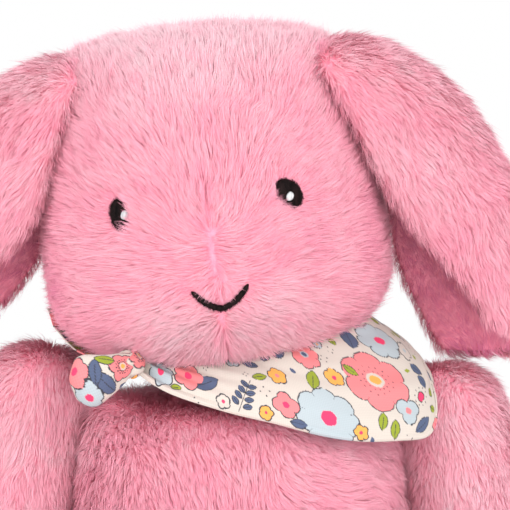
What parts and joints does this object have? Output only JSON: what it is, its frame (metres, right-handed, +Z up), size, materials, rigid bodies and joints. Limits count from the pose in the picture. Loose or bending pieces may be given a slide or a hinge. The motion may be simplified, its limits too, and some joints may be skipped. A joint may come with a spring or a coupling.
{
  "type": "stuffed bunny rabbit",
  "caption": "Seated plush bunny with lop ears, stitched eyes and smile and a knotted kerchief, jointed at neck, ears, arms and legs.",
  "frame": {"origin": "on the floor under the middle of the torso, in the plane that the seat stands on", "axes": "+Z up, the bunny's face towards -Y, its own left side towards +X"},
  "size_m": [0.2185, 0.2098, 0.2337],
  "materials": {
    "pink_fur": "long soft plush pile",
    "fibre": "loose polyester fibre",
    "black_thread": "satin embroidery",
    "grey_thread": "satin embroidery",
    "pink_thread": "sewing thread",
    "printed_cotton": "fine printed cotton",
    "plain_cotton": "plain woven cotton"
  },
  "bodies": {
    "torso": {"torso_front": "pink_fur", "torso_back": "pink_fur", "seat_panel": "pink_fur", "torso_filling": "fibre", "pellet_bag": "plain_cotton", "tail_cover": "pink_fur", "tail_filling": "fibre", "care_label": "plain_cotton", "kerchief": "printed_cotton", "kerchief_knot": "printed_cotton", "kerchief_end_lower": "printed_cotton", "kerchief_end_upper": "printed_cotton"},
    "neck": {"neck_stitching": "pink_thread"},
    "head": {"face_panel_left": "pink_fur", "face_panel_right": "pink_fur", "head_back_left": "pink_fur", "head_back_right": "pink_fur", "head_filling": "fibre", "eye_left": "black_thread", "eye_right": "black_thread", "eye_highlight_left": "grey_thread", "eye_highlight_right": "grey_thread", "mouth_stitching": "black_thread"},
    "ear_left": {"ear_left_outer": "pink_fur", "ear_left_inner": "pink_fur"},
    "arm_left": {"arm_left_front": "pink_fur", "arm_left_back": "pink_fur", "arm_left_filling": "fibre"},
    "leg_left": {"leg_left_upper": "pink_fur", "leg_left_lower": "pink_fur", "leg_left_filling": "fibre"},
    "ear_right": {"ear_right_outer": "pink_fur", "ear_right_inner": "pink_fur"},
    "arm_right": {"arm_right_front": "pink_fur", "arm_right_back": "pink_fur", "arm_right_filling": "fibre"},
    "leg_right": {"leg_right_upper": "pink_fur", "leg_right_lower": "pink_fur", "leg_right_filling": "fibre"}
  },
  "joints": [
    {"name": "head_turn", "type": "hinge", "parent": "torso", "child": "neck", "pos_m": [-0.002, 0, 0.114], "axis": [-0.1271, 0, 0.9919], "range_deg": [-20, 20]},
    {"name": "head_nod", "type": "hinge", "parent": "neck", "child": "head", "pos_m": [-0.002, 0, 0.114], "axis": [0.9919, -0.0087, 0.1271], "range_deg": [-10, 8]},
    {"name": "ear_left_lift", "type": "hinge", "parent": "head", "child": "ear_left", "pos_m": [0.03179, 0.00059, 0.22015], "axis": [-0.0087, -1, -0.0011], "range_deg": [0, 60]},
    {"name": "ear_right_lift", "type": "hinge", "parent": "head", "child": "ear_right", "pos_m": [-0.05805, 0.00137, 0.21318], "axis": [0.0087, 1, 0.0011], "range_deg": [0, 60]},
    {"name": "arm_left_swing", "type": "hinge", "parent": "torso", "child": "arm_left", "pos_m": [0.072, 0, 0.0965], "axis": [-1, 0, 0], "range_deg": [-25, 85]},
    {"name": "arm_right_swing", "type": "hinge", "parent": "torso", "child": "arm_right", "pos_m": [-0.0695, 0, 0.1035], "axis": [-1, 0, 0], "range_deg": [-25, 85]},
    {"name": "leg_left_raise", "type": "hinge", "parent": "torso", "child": "leg_left", "pos_m": [0.039, -0.063, 0.0213], "axis": [-0.9781, -0.2079, 0], "range_deg": [0, 45]},
    {"name": "leg_right_raise", "type": "hinge", "parent": "torso", "child": "leg_right", "pos_m": [-0.039, -0.063, 0.0213], "axis": [-0.9781, 0.2079, 0], "range_deg": [0, 45]}
  ]
}
